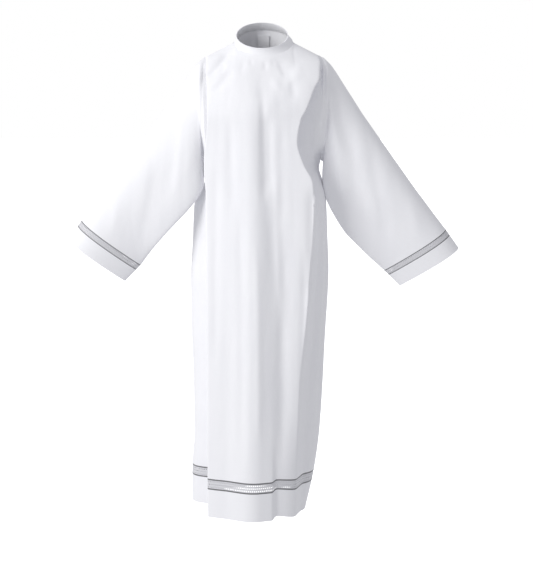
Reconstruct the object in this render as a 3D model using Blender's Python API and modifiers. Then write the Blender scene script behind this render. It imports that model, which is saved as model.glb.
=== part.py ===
"""An alb: a long white church vestment with a stand collar, wide sleeves and openwork bands.

It has the form it takes when it is worn, with nobody in it. Metres, +Z up. The front faces -Y,
and X runs towards the wearer's left. The origin is the middle of the base of the neck, level
with the inner ends of the shoulder seams. Left and right are the wearer's.
"""

import math
from collections import namedtuple

import bpy
from mathutils import Vector

CLOTH = 0.0016          # wall of the body and sleeve cloth
COLLAR_CLOTH = 0.0022   # two layers and an interlining
BAND_CLOTH = 0.0012     # openwork insertion
SEAM_GAP = 0.0004       # between neighbouring pieces at a seam in level cloth
SIDE_GAP = 0.0012       # drawn in from each side of a seam that the cloth turns round at
CORNER_GAP = 0.0022     # the same, where two pieces meet at an angle
NECK_GAP = 0.0012       # on each side of the neck seam

SHOULDER_X = 0.1755     # outer end of the shoulder seam
SHOULDER_Z = -0.043
ARMPIT_Z = -0.346
CHEST_Z = -0.220        # level where the cloth leaves the chest and hangs free
NECK_HALF_WIDTH = 0.087
NECK_HALF_DEPTH = 0.071
NECK_MIDDLE_Y = 0.0055
NECK_TILT = 0.542       # rise of the neck seam from front to back
RIM_HALF_WIDTH = 0.077
RIM_HALF_DEPTH = 0.060
RIM_MIDDLE_X = -0.004   # the collar sits a little to one side
RIM_MIDDLE_Y = -0.0055
RIM_MIDDLE_Z = 0.0205
RIM_TILT = 0.653

BAND_TOP_Z = -1.2955    # openwork band near the hem
BAND_LOW_Z = -1.3225
HEM_Z = -1.4075

PLACKET_LENGTH = 0.360  # underlap of the opening in the centre-back seam
PLACKET_TOP = 0.016     # depth of its upper end below the neck seam
PLACKET_GAP = 0.0035    # between the cloth of the back and the underlap
PLACKET_WIDTH = 0.034
PLACKET_ROWS = 9

# Fall lines: lines that run down the cloth, as level, x and y. A level section of the body joins
# them in turn: side seam, root of the pleat, edge of the pleat, middle of the panel.
Fall = namedtuple("Fall", "z x y")

SIDE_RIGHT = (
    Fall(-0.346, -0.1690, 0.000),
    Fall(-0.375, -0.1685, 0.004),
    Fall(-0.400, -0.1730, 0.008),
    Fall(-0.440, -0.1900, 0.012),
    Fall(-0.480, -0.2090, 0.018),
    Fall(-0.590, -0.2150, 0.025),
    Fall(-0.710, -0.2220, 0.030),
    Fall(-0.860, -0.2210, 0.030),
    Fall(-1.000, -0.2165, 0.030),
    Fall(-1.180, -0.2150, 0.030),
    Fall(-1.300, -0.2230, 0.034),
    Fall(-1.408, -0.2240, 0.034),
)
SIDE_LEFT = (
    Fall(-0.346, 0.1700, 0.000),
    Fall(-0.368, 0.1665, 0.004),
    Fall(-0.410, 0.1785, 0.010),
    Fall(-0.462, 0.1885, 0.015),
    Fall(-0.587, 0.1945, 0.020),
    Fall(-0.678, 0.1980, 0.020),
    Fall(-0.894, 0.1880, 0.020),
    Fall(-1.020, 0.1825, 0.015),
    Fall(-1.177, 0.1725, 0.005),
    Fall(-1.296, 0.1560, -0.010),
    Fall(-1.408, 0.1300, -0.030),
)
FRONT_ARMHOLE_RIGHT = (
    Fall(-0.043, -0.1755, 0.000),
    Fall(-0.060, -0.1760, -0.034),
    Fall(-0.090, -0.1757, -0.064),
    Fall(-0.150, -0.1745, -0.094),
    Fall(-0.220, -0.1725, -0.103),
    Fall(-0.310, -0.1695, -0.088),
)
FRONT_ARMHOLE_LEFT = (
    Fall(-0.043, 0.1755, 0.000),
    Fall(-0.060, 0.1755, -0.027),
    Fall(-0.090, 0.1755, -0.050),
    Fall(-0.150, 0.1740, -0.070),
    Fall(-0.220, 0.1710, -0.075),
    Fall(-0.290, 0.1690, -0.056),
)
BACK_ARMHOLE_RIGHT = (
    Fall(-0.043, -0.1755, 0.000),
    Fall(-0.060, -0.1745, 0.024),
    Fall(-0.090, -0.1710, 0.046),
    Fall(-0.150, -0.1630, 0.068),
    Fall(-0.220, -0.1580, 0.075),
    Fall(-0.290, -0.1645, 0.060),
)
BACK_ARMHOLE_LEFT = tuple(Fall(row.z, -row.x, row.y) for row in BACK_ARMHOLE_RIGHT)

FRONT_ROOT_RIGHT = (
    Fall(-0.040, -0.168, 0.000),
    Fall(-0.060, -0.161, -0.034),
    Fall(-0.090, -0.153, -0.064),
    Fall(-0.150, -0.146, -0.092),
    Fall(-0.220, -0.143, -0.102),
    Fall(-0.346, -0.146, -0.096),
    Fall(-0.420, -0.148, -0.090),
    Fall(-0.480, -0.150, -0.078),
    Fall(-0.700, -0.150, -0.060),
    Fall(-1.000, -0.150, -0.042),
    Fall(-1.300, -0.154, -0.024),
    Fall(-1.408, -0.156, -0.020),
)
FRONT_ROOT_LEFT = (
    Fall(-0.040, 0.168, 0.000),
    Fall(-0.060, 0.160, -0.026),
    Fall(-0.090, 0.152, -0.048),
    Fall(-0.130, 0.134, -0.064),
    Fall(-0.221, 0.094, -0.078),
    Fall(-0.287, 0.083, -0.080),
    Fall(-0.350, 0.100, -0.080),
    Fall(-0.405, 0.132, -0.082),
    Fall(-0.462, 0.156, -0.086),
    Fall(-0.570, 0.164, -0.085),
    Fall(-0.804, 0.152, -0.082),
    Fall(-1.040, 0.135, -0.082),
    Fall(-1.293, 0.120, -0.085),
    Fall(-1.408, 0.113, -0.088),
)
FRONT_EDGE_RIGHT = (
    Fall(-0.037, -0.1600, -0.118),
    Fall(-0.060, -0.1685, -0.118),
    Fall(-0.087, -0.1700, -0.118),
    Fall(-0.120, -0.1670, -0.118),
    Fall(-0.220, -0.1650, -0.116),
    Fall(-0.275, -0.1680, -0.113),
    Fall(-0.320, -0.1745, -0.111),
    Fall(-0.375, -0.1762, -0.111),
    Fall(-0.440, -0.1710, -0.111),
    Fall(-0.700, -0.1695, -0.119),
    Fall(-1.000, -0.1690, -0.132),
    Fall(-1.408, -0.1700, -0.145),
)
FRONT_EDGE_LEFT = (
    Fall(-0.037, 0.1600, -0.118),
    Fall(-0.060, 0.1680, -0.118),
    Fall(-0.105, 0.1650, -0.118),
    Fall(-0.130, 0.1520, -0.118),
    Fall(-0.195, 0.1260, -0.118),
    Fall(-0.221, 0.1115, -0.130),
    Fall(-0.287, 0.1006, -0.136),
    Fall(-0.350, 0.1190, -0.140),
    Fall(-0.405, 0.1460, -0.144),
    Fall(-0.462, 0.1490, -0.147),
    Fall(-0.570, 0.1460, -0.150),
    Fall(-0.804, 0.1290, -0.150),
    Fall(-1.040, 0.1090, -0.150),
    Fall(-1.293, 0.0980, -0.146),
    Fall(-1.408, 0.0950, -0.143),
)
# The front panel bends outwards along its ridge, and inwards along its valley. The two start
# together on the chest and part towards the hem.
FRONT_RIDGE = (
    Fall(-0.220, -0.026, -0.148),
    Fall(-0.350, -0.025, -0.154),
    Fall(-0.480, -0.024, -0.161),
    Fall(-0.700, -0.025, -0.172),
    Fall(-1.000, -0.028, -0.187),
    Fall(-1.296, -0.034, -0.200),
    Fall(-1.408, -0.036, -0.204),
)
FRONT_VALLEY = (
    Fall(-0.220, -0.001, -0.139),
    Fall(-0.350, 0.004, -0.141),
    Fall(-0.450, 0.015, -0.143),
    Fall(-0.600, 0.041, -0.141),
    Fall(-0.820, 0.058, -0.147),
    Fall(-1.040, 0.064, -0.155),
    Fall(-1.296, 0.066, -0.168),
    Fall(-1.408, 0.066, -0.170),
)
BACK_ROOT_RIGHT = (
    Fall(-0.040, -0.168, 0.000),
    Fall(-0.060, -0.158, 0.028),
    Fall(-0.100, -0.140, 0.055),
    Fall(-0.200, -0.116, 0.078),
    Fall(-0.300, -0.106, 0.080),
    Fall(-0.450, -0.120, 0.068),
    Fall(-0.800, -0.128, 0.060),
    Fall(-1.100, -0.126, 0.062),
    Fall(-1.408, -0.120, 0.070),
)
BACK_EDGE_RIGHT = (
    Fall(-0.037, -0.160, 0.105),
    Fall(-0.060, -0.166, 0.105),
    Fall(-0.100, -0.160, 0.105),
    Fall(-0.200, -0.140, 0.105),
    Fall(-0.300, -0.132, 0.108),
    Fall(-0.450, -0.140, 0.105),
    Fall(-0.800, -0.152, 0.112),
    Fall(-1.100, -0.154, 0.125),
    Fall(-1.408, -0.150, 0.140),
)
BACK_ROOT_LEFT = (
    Fall(-0.040, 0.168, 0.000),
    Fall(-0.060, 0.158, 0.028),
    Fall(-0.100, 0.140, 0.055),
    Fall(-0.200, 0.116, 0.078),
    Fall(-0.300, 0.106, 0.080),
    Fall(-0.450, 0.118, 0.068),
    Fall(-0.800, 0.120, 0.060),
    Fall(-1.100, 0.102, 0.060),
    Fall(-1.408, 0.082, 0.060),
)
BACK_EDGE_LEFT = (
    Fall(-0.037, 0.160, 0.105),
    Fall(-0.060, 0.166, 0.105),
    Fall(-0.100, 0.160, 0.105),
    Fall(-0.200, 0.140, 0.105),
    Fall(-0.300, 0.132, 0.108),
    Fall(-0.450, 0.138, 0.105),
    Fall(-0.800, 0.142, 0.112),
    Fall(-1.100, 0.128, 0.125),
    Fall(-1.408, 0.110, 0.138),
)
BACK_MIDDLE = (
    Fall(-0.220, 0.0, 0.122),
    Fall(-0.330, 0.0, 0.122),
    Fall(-0.500, 0.0, 0.118),
    Fall(-0.800, 0.0, 0.130),
    Fall(-1.100, 0.0, 0.150),
    Fall(-1.408, 0.0, 0.172),
)

# Soft folds of a panel. Each runs from its top to its low end, and fades out over `fade` at both.
# A trough has a depth above nothing, a ridge a depth below nothing.
Fold = namedtuple("Fold", "top_x top_z low_x low_z depth width fade")
FRONT_FOLDS = (
    Fold(-0.003, -0.120, 0.003, -0.480, 0.004, 0.010, 0.080),
    Fold(-0.096, -0.200, -0.090, -0.520, 0.003, 0.014, 0.100),
    Fold(-0.100, -0.640, -0.115, -1.600, 0.003, 0.022, 0.300),
)
BACK_FOLDS = (
    Fold(-0.070, -0.160, -0.085, -1.700, 0.012, 0.020, 0.150),
    Fold(-0.030, -0.320, -0.036, -1.700, -0.010, 0.020, 0.220),
    Fold(0.048, -0.200, 0.044, -1.700, 0.013, 0.020, 0.180),
    Fold(0.088, -0.380, 0.078, -1.700, -0.008, 0.018, 0.200),
)
HEM_STEP_X = 0.027      # edge of a fold that opens towards the hem
HEM_STEP_TOP_Z = -1.120
HEM_STEP_DEPTH = 0.012
HEM_STEP_LIFT = 0.010   # how much higher the cloth hangs beyond that edge
HEM_STEP_WIDTH = 0.010
HEM_STEP_REACH = 0.090  # width over which the cloth comes forward and down again

# Rings of a sleeve, from the shoulder to the cuff: the top and the low end, then how far the
# cloth stands out in front of and behind the line between them.
Ring = namedtuple("Ring", "top_x top_y top_z low_x low_y low_z front back")
SLEEVE_RIGHT = (
    Ring(-0.1890, 0.000, -0.0560, -0.1795, -0.044, -0.3820, 0.074, 0.063),
    Ring(-0.2050, 0.000, -0.0720, -0.1760, -0.072, -0.4180, 0.058, 0.068),
    Ring(-0.2430, -0.003, -0.1260, -0.2060, -0.084, -0.4700, 0.049, 0.074),
    Ring(-0.3050, -0.008, -0.2090, -0.2640, -0.082, -0.5330, 0.045, 0.072),
    Ring(-0.3780, -0.015, -0.3060, -0.3080, -0.074, -0.5810, 0.043, 0.068),
    Ring(-0.4520, -0.022, -0.4035, -0.3400, -0.060, -0.6200, 0.045, 0.062),
    Ring(-0.5426, -0.030, -0.5228, -0.3670, -0.045, -0.6560, 0.048, 0.055),
    Ring(-0.5552, -0.030, -0.5396, -0.3815, -0.045, -0.6710, 0.048, 0.055),
    Ring(-0.5840, -0.030, -0.5780, -0.4145, -0.045, -0.7050, 0.048, 0.055),
)
SLEEVE_LEFT = (
    Ring(0.1880, 0.004, -0.0540, 0.1850, -0.006, -0.3600, 0.056, 0.060),
    Ring(0.2070, 0.010, -0.0745, 0.1745, -0.022, -0.3900, 0.042, 0.056),
    Ring(0.2450, 0.012, -0.1320, 0.1880, -0.030, -0.4640, 0.043, 0.054),
    Ring(0.3050, 0.009, -0.2235, 0.2366, -0.026, -0.5505, 0.050, 0.054),
    Ring(0.3750, 0.003, -0.3210, 0.2780, -0.023, -0.5960, 0.052, 0.053),
    Ring(0.4520, -0.004, -0.4285, 0.3210, -0.018, -0.6380, 0.052, 0.054),
    Ring(0.5465, -0.012, -0.5520, 0.3635, -0.012, -0.6770, 0.050, 0.052),
    Ring(0.5590, -0.012, -0.5690, 0.3780, -0.012, -0.6910, 0.050, 0.052),
    Ring(0.5870, -0.012, -0.6080, 0.4120, -0.012, -0.7240, 0.050, 0.052),
)
BAND_RING = 7           # ring at the upper edge of the cuff band, counting the armhole as 0
BORDER_RING = 8         # ring at its lower edge
CUFF_RING = 9
SLEEVE_ROWS = (0, 0.5, 1, 1.5, 2, 2.5, 3, 3.5, 4, 5, 6, BAND_RING)
RING_POINTS = 24
ARM_FULLNESS = 0.5      # how much fuller a sleeve is over the arm than where it hangs below

# Folds of the sleeves' fronts, which fall from the shoulder to the underarm.
SLEEVE_FOLDS = (
    Fold(0.188, -0.090, 0.238, -0.440, -0.005, 0.012, 0.080),
    Fold(0.202, -0.100, 0.268, -0.480, 0.005, 0.016, 0.100),
    Fold(0.290, -0.240, 0.330, -0.560, -0.005, 0.020, 0.120),
    Fold(-0.188, -0.110, -0.196, -0.400, 0.003, 0.012, 0.080),
    Fold(-0.205, -0.120, -0.225, -0.440, -0.004, 0.014, 0.090),
    Fold(-0.250, -0.180, -0.285, -0.500, 0.006, 0.020, 0.120),
)

PLEAT_COLUMNS = 3       # between two fall lines of a pleat
FRONT_COLUMNS = 18
BACK_COLUMNS = 8        # half of the back
BODY_DEPTHS = (
    0.0, 0.012, 0.028, 0.050, 0.080, 0.115, 0.155, 0.200, 0.250, 0.310, 0.346,
    0.395, 0.460, 0.540, 0.640, 0.750, 0.870, 1.000, 1.120, 1.220,
)
BLEND_DEPTH = 0.300     # by this far down, a row of the body is level
SPREAD_DEPTH = 0.200    # by this far down, its points are evenly spread across the panel
SHOULDER_SHARE = 0.22   # of the panel's columns that end on one shoulder seam
CHEST_CURVE = 1.6       # how full the chest is
YOKE_CURVE = 0.55       # the same for the cloth that falls from the ends of the shoulders
PANEL_CURVE = 2.2       # how squarely a level section of the back or chest turns to its edges
CHEST_MIDDLE = (-0.005, -0.148)  # x and y of the front of the chest
RIDGE_REACH = 0.027     # half the width over which the cloth turns at the ridge
VALLEY_REACH = 0.022
BEND_DEPTHS = (0.10, 0.23)  # between these the round chest goes over into the bent panel
PLEAT_DEPTHS = (0.34, 0.44)  # between these the side of a pleat turns from slanting to square
PLEAT_SQUARE = 0.8
COLLAR_COLUMNS = 30
COLLAR_LEVELS = (1.0, 0.55, 0.0)
COLLAR_HOLLOW = 0.03    # how far the collar curves in between its two edges, of its radius

WHITE_CLOTH = (0.86, 0.86, 0.89, 1.0)
GREY_OPENWORK = (0.42, 0.42, 0.44, 1.0)


def clamp(value):
    return min(max(value, 0.0), 1.0)


def ease(value):
    """A smooth step from 0 to 1."""
    t = clamp(value)
    return t * t * (3 - 2 * t)


def mix(a, b, t):
    return a + (b - a) * t


def read(table, z, column):
    """A column of a table at a level, on a smooth curve through the rows that doesn't overshoot."""
    rows = [(row.z, getattr(row, column)) for row in table]
    if z >= rows[0][0]:
        return rows[0][1]
    if z <= rows[-1][0]:
        return rows[-1][1]
    at = next(i for i in range(len(rows) - 1) if rows[i + 1][0] <= z)
    slopes = [(b[1] - a[1]) / (b[0] - a[0]) for a, b in zip(rows, rows[1:])]

    def tangent(i):
        if i == 0 or i == len(rows) - 1:
            return slopes[min(i, len(slopes) - 1)]
        before, after = slopes[i - 1], slopes[i]
        if before * after <= 0:
            return 0.0
        return 2 * before * after / (before + after)

    (z0, v0), (z1, v1) = rows[at], rows[at + 1]
    span = z1 - z0
    t = (z - z0) / span
    m0, m1 = tangent(at) * span, tangent(at + 1) * span
    return (
        (2 * t ** 3 - 3 * t ** 2 + 1) * v0
        + (t ** 3 - 2 * t ** 2 + t) * m0
        + (3 * t ** 2 - 2 * t ** 3) * v1
        + (t ** 3 - t ** 2) * m1
    )


def fall_point(table, z):
    return Vector((read(table, z, "x"), read(table, z, "y"), z))


def level(top_z, depth):
    """Level of a row at this depth, on the column whose top is at top_z."""
    return -depth + top_z * (1 - ease(depth / BLEND_DEPTH))


def neck_point(angle, raise_by=0.0):
    """A point of the neck seam: angle 0 is the wearer's left, and -90 degrees is the front."""
    x = NECK_HALF_WIDTH * math.cos(angle)
    y = NECK_MIDDLE_Y + NECK_HALF_DEPTH * math.sin(angle)
    return Vector((x, y, NECK_TILT * NECK_HALF_DEPTH * math.sin(angle) + raise_by))


def rim_point(angle):
    x = RIM_MIDDLE_X + RIM_HALF_WIDTH * math.cos(angle)
    rise = RIM_HALF_DEPTH * math.sin(angle)
    return Vector((x, RIM_MIDDLE_Y + rise, RIM_MIDDLE_Z + RIM_TILT * rise))


def panel_top(share, front):
    """The top edge of the panel between its pleats, from right to left: shoulder, neck, shoulder."""
    edge_x = FRONT_EDGE_LEFT[0].x
    edge_z = FRONT_EDGE_LEFT[0].z
    if share < SHOULDER_SHARE or share > 1 - SHOULDER_SHARE:
        side = -1 if share < 0.5 else 1
        t = min(share, 1 - share) / SHOULDER_SHARE
        return Vector((
            side * mix(edge_x, NECK_HALF_WIDTH, t),
            mix(0.0, NECK_MIDDLE_Y, t),
            mix(edge_z, 0.0, t),
        ))
    across = (share - SHOULDER_SHARE) / (1 - 2 * SHOULDER_SHARE)
    turn = math.pi * (1 - across)
    return neck_point(-turn if front else turn)


def fold_depth(folds, x, z):
    """How far the folds push the cloth inwards at a place of the panel."""
    total = 0.0
    for fold in folds:
        t = (z - fold.top_z) / (fold.low_z - fold.top_z)
        if not 0 < t < 1:
            continue
        length = fold.top_z - fold.low_z
        strength = ease(t * length / fold.fade) * ease((1 - t) * length / fold.fade)
        away = (x - mix(fold.top_x, fold.low_x, t)) / fold.width
        total += fold.depth * strength * math.exp(-away * away)
    return total


def hem_step(x, z):
    """The fold that opens towards the hem: the cloth on the wearer's left of it lies deeper."""
    opened = ease((z - HEM_STEP_TOP_Z) / (HEM_Z - HEM_STEP_TOP_Z))
    past = ease((x - HEM_STEP_X) / HEM_STEP_WIDTH)
    return opened * past * (1 - ease((x - HEM_STEP_X) / HEM_STEP_REACH))


def chest_share(depth, roundness):
    """How much of its way forward the cloth has gone at this depth below the panel's top."""
    left = 1 - clamp(depth / -CHEST_Z)
    return (1 - left ** CHEST_CURVE) ** roundness


def turned(distance, reach):
    """0 before a bend and the distance after it, with a smooth turn between."""
    if distance <= -reach:
        return 0.0
    if distance >= reach:
        return distance
    return (distance + reach) ** 2 / (4 * reach)


def bent_y(x, z):
    """Where the front panel hangs: flat stretches that meet along its ridge and its valley."""
    right, ridge, valley, left = (
        fall_point(table, z)
        for table in (FRONT_EDGE_RIGHT, FRONT_RIDGE, FRONT_VALLEY, FRONT_EDGE_LEFT)
    )
    first = (ridge.y - right.y) / (ridge.x - right.x)
    second = (valley.y - ridge.y) / (valley.x - ridge.x)
    third = (left.y - valley.y) / (left.x - valley.x)
    return (
        right.y + first * (x - right.x)
        + (second - first) * turned(x - ridge.x, RIDGE_REACH)
        + (third - second) * turned(x - valley.x, VALLEY_REACH)
    )


def panel_point(share, depth, front):
    """A point of the panel between its pleat edges; share 0 is the right edge, 1 the left."""
    top = panel_top(share, front)
    z = level(top.z, depth)
    right, left = (
        (FRONT_EDGE_RIGHT, FRONT_EDGE_LEFT) if front else (BACK_EDGE_RIGHT, BACK_EDGE_LEFT)
    )
    right_x, left_x = read(right, z, "x"), read(left, z, "x")
    top_share = (top.x - right[0].x) / (left[0].x - right[0].x)
    placed = mix(top_share, share, ease(depth / SPREAD_DEPTH))
    x = mix(right_x, left_x, placed)
    hang_z = min(z, CHEST_Z)
    middle_x, middle_y = CHEST_MIDDLE
    if not front:
        middle_x, middle_y = read(BACK_MIDDLE, hang_z, "x"), read(BACK_MIDDLE, hang_z, "y")
    edge, edge_x = (right, right_x) if x < middle_x else (left, left_x)
    away = clamp((x - middle_x) / (edge_x - middle_x))
    hung_y = mix(middle_y, read(edge, hang_z, "y"), away ** PANEL_CURVE)
    if front:
        bend_start, bend_end = BEND_DEPTHS
        bent = ease((depth - bend_start) / (bend_end - bend_start))
        hung_y = mix(hung_y, bent_y(x, hang_z), bent)
    roundness = mix(1.0, YOKE_CURVE, ease(abs(top.x) / SHOULDER_X))
    y = mix(top.y, hung_y, chest_share(depth, roundness))
    if front:
        step = hem_step(x, z) * (1 - away ** 6)
        y += fold_depth(FRONT_FOLDS, x, z) * (1 - away ** 6) + HEM_STEP_DEPTH * step
        z += HEM_STEP_LIFT * step
    else:
        y -= fold_depth(BACK_FOLDS, x, z) * (1 - away ** 6)
    return Vector((x, y, z))


def curve_between(start, bend, end, count):
    """Points of a curve from start towards end, pulled to bend; the end itself is left out."""
    points = []
    for i in range(count):
        t = i / count
        points.append(start * (1 - t) ** 2 + bend * 2 * t * (1 - t) + end * t ** 2)
    return points


def pleat_points(seam, root, edge_point, depth):
    """Points of a row from the side seam round the pleat to its edge, which is left out."""
    seam_point = fall_point(seam, level(seam[0].z, depth))
    root_point = fall_point(root, level(root[0].z, depth))
    square_y = mix(seam_point.y, root_point.y, PLEAT_SQUARE)
    bend = Vector((seam_point.x, square_y, seam_point.z))
    slant_end, square_start = PLEAT_DEPTHS
    upper = 1 - ease((depth - slant_end) / (square_start - slant_end))
    bend.x = mix(bend.x, (seam_point.x + root_point.x) / 2, upper)
    points = curve_between(seam_point, bend, root_point, PLEAT_COLUMNS)
    middle = (root_point + edge_point) / 2
    return points + curve_between(root_point, middle, edge_point, PLEAT_COLUMNS)


def front_row(depth):
    edge_right = panel_point(0.0, depth, True)
    edge_left = panel_point(1.0, depth, True)
    right = pleat_points(FRONT_ARMHOLE_RIGHT + SIDE_RIGHT, FRONT_ROOT_RIGHT, edge_right, depth)
    left = pleat_points(FRONT_ARMHOLE_LEFT + SIDE_LEFT, FRONT_ROOT_LEFT, edge_left, depth)
    panel = [panel_point(i / FRONT_COLUMNS, depth, True) for i in range(FRONT_COLUMNS + 1)]
    return right + panel + left[::-1]


def back_half_row(depth, left):
    """A row of half the back, from left to right as seen from behind."""
    side = 1.0 if left else 0.0
    edge_point = panel_point(side, depth, False)
    seam = BACK_ARMHOLE_LEFT + SIDE_LEFT if left else BACK_ARMHOLE_RIGHT + SIDE_RIGHT
    root = BACK_ROOT_LEFT if left else BACK_ROOT_RIGHT
    pleat = pleat_points(seam, root, edge_point, depth)
    shares = [mix(side, 0.5, i / BACK_COLUMNS) for i in range(BACK_COLUMNS + 1)]
    row = pleat + [panel_point(share, depth, False) for share in shares]
    return row if left else row[::-1]


def back_row(depth):
    return back_half_row(depth, True)[:-1] + back_half_row(depth, False)


def ring_points(sleeve, armhole_front, armhole_back, number):
    """A ring of a sleeve, from its top down the front, and up the back."""
    half = RING_POINTS // 2
    angles = [math.pi * i / half for i in range(2 * half)]
    if number == 0:
        points = []
        for angle in angles:
            z = mix(SHOULDER_Z, ARMPIT_Z, (1 - math.cos(angle)) / 2)
            table = armhole_front if angle <= math.pi else armhole_back
            points.append(fall_point(table, z))
        return points
    ring = sleeve[number - 1]
    top = Vector((ring.top_x, ring.top_y, ring.top_z))
    low = Vector((ring.low_x, ring.low_y, ring.low_z))
    points = []
    for angle in angles:
        point = (top + low) / 2 + (top - low) / 2 * math.cos(angle)
        out = math.sin(angle) * (1 + ARM_FULLNESS * math.cos(angle))
        if angle <= math.pi:
            point.y += (fold_depth(SLEEVE_FOLDS, point.x, point.z) - ring.front) * out
        else:
            point.y -= ring.back * out
        points.append(point)
    return points


def spline(points, at):
    """A point at a place, counted in points, on a smooth curve through the points."""
    i = min(int(at), len(points) - 2)
    t = at - i
    before = points[max(i - 1, 0)]
    a, b = points[i], points[i + 1]
    after = points[min(i + 2, len(points) - 1)]
    out, into = (b - before) / 2, (after - a) / 2
    return (
        a * (2 * t ** 3 - 3 * t ** 2 + 1) + out * (t ** 3 - 2 * t ** 2 + t)
        + b * (3 * t ** 2 - 2 * t ** 3) + into * (t ** 3 - t ** 2)
    )


def sleeve_rows(left, places):
    """Rows of a sleeve at these places, counted in rings from the armhole."""
    side = SIDE_LEFT if left else SIDE_RIGHT
    front = (FRONT_ARMHOLE_LEFT if left else FRONT_ARMHOLE_RIGHT) + side
    back = (BACK_ARMHOLE_LEFT if left else BACK_ARMHOLE_RIGHT) + side
    sleeve = SLEEVE_LEFT if left else SLEEVE_RIGHT
    rings = [ring_points(sleeve, front, back, i) for i in range(len(sleeve) + 1)]
    columns = list(zip(*rings))
    rows = [[spline(column, place) for column in columns] for place in places]
    return [row[::-1] for row in rows] if left else rows


def moved_towards(point, goal, distance):
    return point + (goal - point).normalized() * distance


def trimmed(rows, top=0.0, low=0.0, start=0.0, end=0.0):
    """Rows with their outer edges drawn in, to leave the gaps at the seams."""
    rows = [list(row) for row in rows]
    for row in rows:
        row[0] = moved_towards(row[0], row[1], start)
        row[-1] = moved_towards(row[-1], row[-2], end)
    first, second = rows[0], rows[1]
    rows[0] = [
        moved_towards(a, b, top if abs(a.x) > NECK_HALF_WIDTH else min(top, NECK_GAP))
        for a, b in zip(first, second)
    ]
    last, before = rows[-1], rows[-2]
    rows[-1] = [moved_towards(a, b, low) for a, b in zip(last, before)]
    return rows


def material(name, colour, roughness):
    made = bpy.data.materials.new(name)
    made.use_nodes = True
    shader = made.node_tree.nodes["Principled BSDF"]
    shader.inputs["Base Color"].default_value = colour
    shader.inputs["Roughness"].default_value = roughness
    return made


def cloth(name, rows, thickness, finish, tube=False):
    """A wall of cloth whose outer face goes through the rows, which run downwards from its top."""
    width = len(rows[0])
    faces = []
    for r in range(len(rows) - 1):
        for c in range(width if tube else width - 1):
            d = (c + 1) % width
            faces.append((r * width + c, (r + 1) * width + c, (r + 1) * width + d, r * width + d))
    mesh = bpy.data.meshes.new(name)
    mesh.from_pydata([point for row in rows for point in row], [], faces)
    mesh.materials.append(finish)
    mesh.shade_smooth()
    mesh.set_sharp_from_angle(angle=math.radians(50))
    piece = bpy.data.objects.new(name, mesh)
    alb.objects.link(piece)
    wall = piece.modifiers.new("Wall", "SOLIDIFY")
    wall.thickness = thickness
    wall.offset = -1
    return piece


def make_collar(finish):
    """A stand collar: it leaves the neck seam with a flare and leans in towards its rim."""
    gap = 0.6 * SEAM_GAP / NECK_HALF_WIDTH
    start, end = math.pi / 2 + gap, math.pi * 5 / 2 - gap
    angles = [mix(start, end, i / COLLAR_COLUMNS) for i in range(COLLAR_COLUMNS + 1)]
    rows = []
    for rise in COLLAR_LEVELS:
        drawn_in = COLLAR_HOLLOW if 0 < rise < 1 else 0.0
        row = []
        for angle in angles:
            base = neck_point(angle, NECK_GAP)
            hollow = Vector((base.x, base.y, 0.0)) * drawn_in
            row.append(mix(base, rim_point(angle), rise) - hollow)
        rows.append(row)
    cloth("collar", rows, COLLAR_CLOTH, finish)


def make_body(finish):
    depths = BODY_DEPTHS + (-BAND_TOP_Z,)
    front = [front_row(depth) for depth in depths]
    cloth("front", trimmed(front, CORNER_GAP, SEAM_GAP, SIDE_GAP, SIDE_GAP), CLOTH, finish)
    for name, left in (("back_left", True), ("back_right", False)):
        half = [back_half_row(depth, left) for depth in depths]
        sides = (SIDE_GAP, SEAM_GAP) if left else (SEAM_GAP, SIDE_GAP)
        cloth(name, trimmed(half, CORNER_GAP, SEAM_GAP, *sides), CLOTH, finish)


def make_placket(finish):
    """The underlap behind the opening of the centre-back seam, just inside the cloth of the back."""
    rows = []
    for i in range(PLACKET_ROWS + 1):
        depth = mix(PLACKET_TOP, PLACKET_LENGTH, i / PLACKET_ROWS)
        seam = panel_point(0.5, depth, False)
        inside = seam - Vector((0.0, CLOTH + PLACKET_GAP, 0.0))
        half = Vector((PLACKET_WIDTH / 2, 0.0, 0.0))
        rows.append([inside + half, inside, inside - half])
    cloth("back_placket", rows, CLOTH, finish)


def make_hem(cloth_finish, band_finish):
    band = (-BAND_TOP_Z, -BAND_LOW_Z)
    border = (-BAND_LOW_Z, -(BAND_LOW_Z + HEM_Z) / 2, -HEM_Z)
    for name, row_at in (("front", front_row), ("back", back_row)):
        rows = [row_at(depth) for depth in band]
        cloth("hem_band_" + name, trimmed(rows, 0, 0, SIDE_GAP, SIDE_GAP), BAND_CLOTH, band_finish)
        rows = [row_at(depth) for depth in border]
        rows = trimmed(rows, SEAM_GAP, 0, SIDE_GAP, SIDE_GAP)
        cloth("hem_border_" + name, rows, CLOTH, cloth_finish)


def trimmed_tube(rows, top, low):
    rows = [list(row) for row in rows]
    rows[0] = [moved_towards(a, b, top) for a, b in zip(rows[0], rows[1])]
    rows[-1] = [moved_towards(a, b, low) for a, b in zip(rows[-1], rows[-2])]
    return rows


def make_sleeves(cloth_finish, band_finish):
    for name, left in (("left", True), ("right", False)):
        rows = trimmed_tube(sleeve_rows(left, SLEEVE_ROWS), CORNER_GAP, SEAM_GAP)
        cloth("sleeve_" + name, rows, CLOTH, cloth_finish, tube=True)
        rows = sleeve_rows(left, (BAND_RING, BORDER_RING))
        cloth("cuff_band_" + name, rows, BAND_CLOTH, band_finish, tube=True)
        rows = trimmed_tube(sleeve_rows(left, (BORDER_RING, CUFF_RING)), SEAM_GAP, 0)
        cloth("cuff_border_" + name, rows, CLOTH, cloth_finish, tube=True)


for old in list(bpy.data.objects):
    bpy.data.objects.remove(old)
alb = bpy.data.collections.new("alb")
bpy.context.scene.collection.children.link(alb)

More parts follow.
